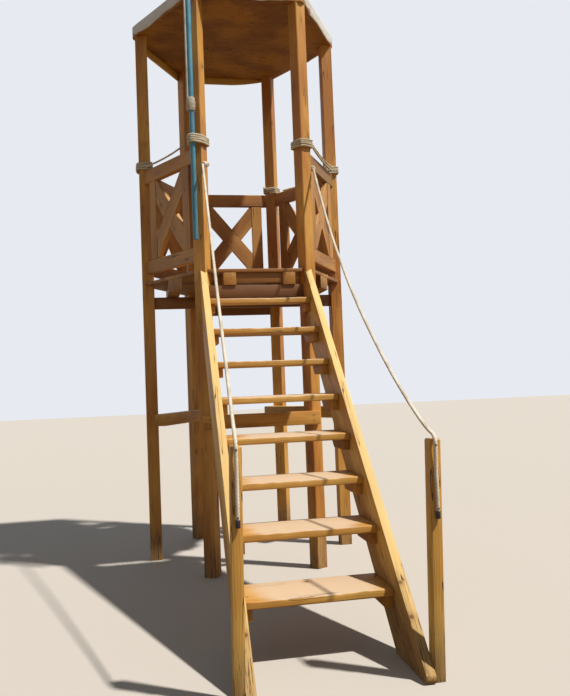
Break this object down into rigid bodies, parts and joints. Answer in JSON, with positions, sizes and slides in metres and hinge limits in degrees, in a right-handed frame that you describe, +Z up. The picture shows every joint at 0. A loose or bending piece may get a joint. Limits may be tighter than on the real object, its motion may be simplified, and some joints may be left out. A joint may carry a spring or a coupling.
{
  "type": "lifeguard tower",
  "caption": "Hexagonal timber lookout tower with six posts, raised boarded deck, crossed-board balustrades, flat covered roof, and a steep open stair with rope handrails.",
  "frame": {"origin": "middle of the footprint's box at floor level, without the two handrail ropes", "axes": "+Z up; the stair runs down towards -Y; +X is to the right for someone facing the stair"},
  "size_m": [1.6316, 3.4786, 5.15],
  "materials": {
    "post_timber": "varnished sawn softwood",
    "frame_timber": "varnished sawn softwood",
    "deck_timber": "worn varnished boards",
    "rail_timber": "varnished sawn softwood",
    "stair_timber": "weathered varnished planks",
    "tread_timber": "worn bare planks",
    "edge_timber": "varnished boards",
    "plywood": "stained plywood",
    "cover_cloth": "coated cloth",
    "handrail_rope": "laid rope",
    "lashing_rope": "laid rope",
    "pole_paint": "worn gloss paint",
    "sleeve_plastic": "moulded"
  },
  "bodies": {
    "root": {"bearer_back": "frame_timber", "bearer_front": "frame_timber", "bearer_middle": "frame_timber", "cleats_left": "stair_timber", "cleats_right": "stair_timber", "deck_boards": "deck_timber", "flag_pole": "pole_paint", "girt_front": "frame_timber", "girt_left": "frame_timber", "girt_right": "frame_timber", "handrail_rope_left": "handrail_rope", "handrail_rope_right": "handrail_rope", "joist_left": "frame_timber", "joist_left_outer": "frame_timber", "joist_right": "frame_timber", "joist_right_outer": "frame_timber", "lashings": "lashing_rope", "lattice_panel_ab": "rail_timber", "lattice_panel_cd": "rail_timber", "lattice_panel_de": "rail_timber", "lattice_panel_ef": "rail_timber", "lattice_panel_fa": "rail_timber", "newel_left": "stair_timber", "newel_right": "stair_timber", "nogging": "frame_timber", "pole_sleeve": "sleeve_plastic", "post_a": "post_timber", "post_b": "post_timber", "post_c": "post_timber", "post_d": "post_timber", "post_e": "post_timber", "post_f": "post_timber", "roof_cover": "cover_cloth", "roof_edge": "edge_timber", "roof_sheet_back": "plywood", "roof_sheet_front": "plywood", "rope_spans": "lashing_rope", "rope_ties": "lashing_rope", "stringer_left": "stair_timber", "stringer_right": "stair_timber", "top_rail_ab": "rail_timber", "top_rail_cd": "rail_timber", "top_rail_de": "rail_timber", "top_rail_ef": "rail_timber", "top_rail_fa": "rail_timber", "tread_1": "tread_timber", "tread_2": "tread_timber", "tread_3": "tread_timber", "tread_4": "tread_timber", "tread_5": "tread_timber", "tread_6": "tread_timber", "tread_7": "tread_timber", "tread_8": "tread_timber", "valance_back": "edge_timber", "valance_back_left": "edge_timber"}
  },
  "joints": []
}
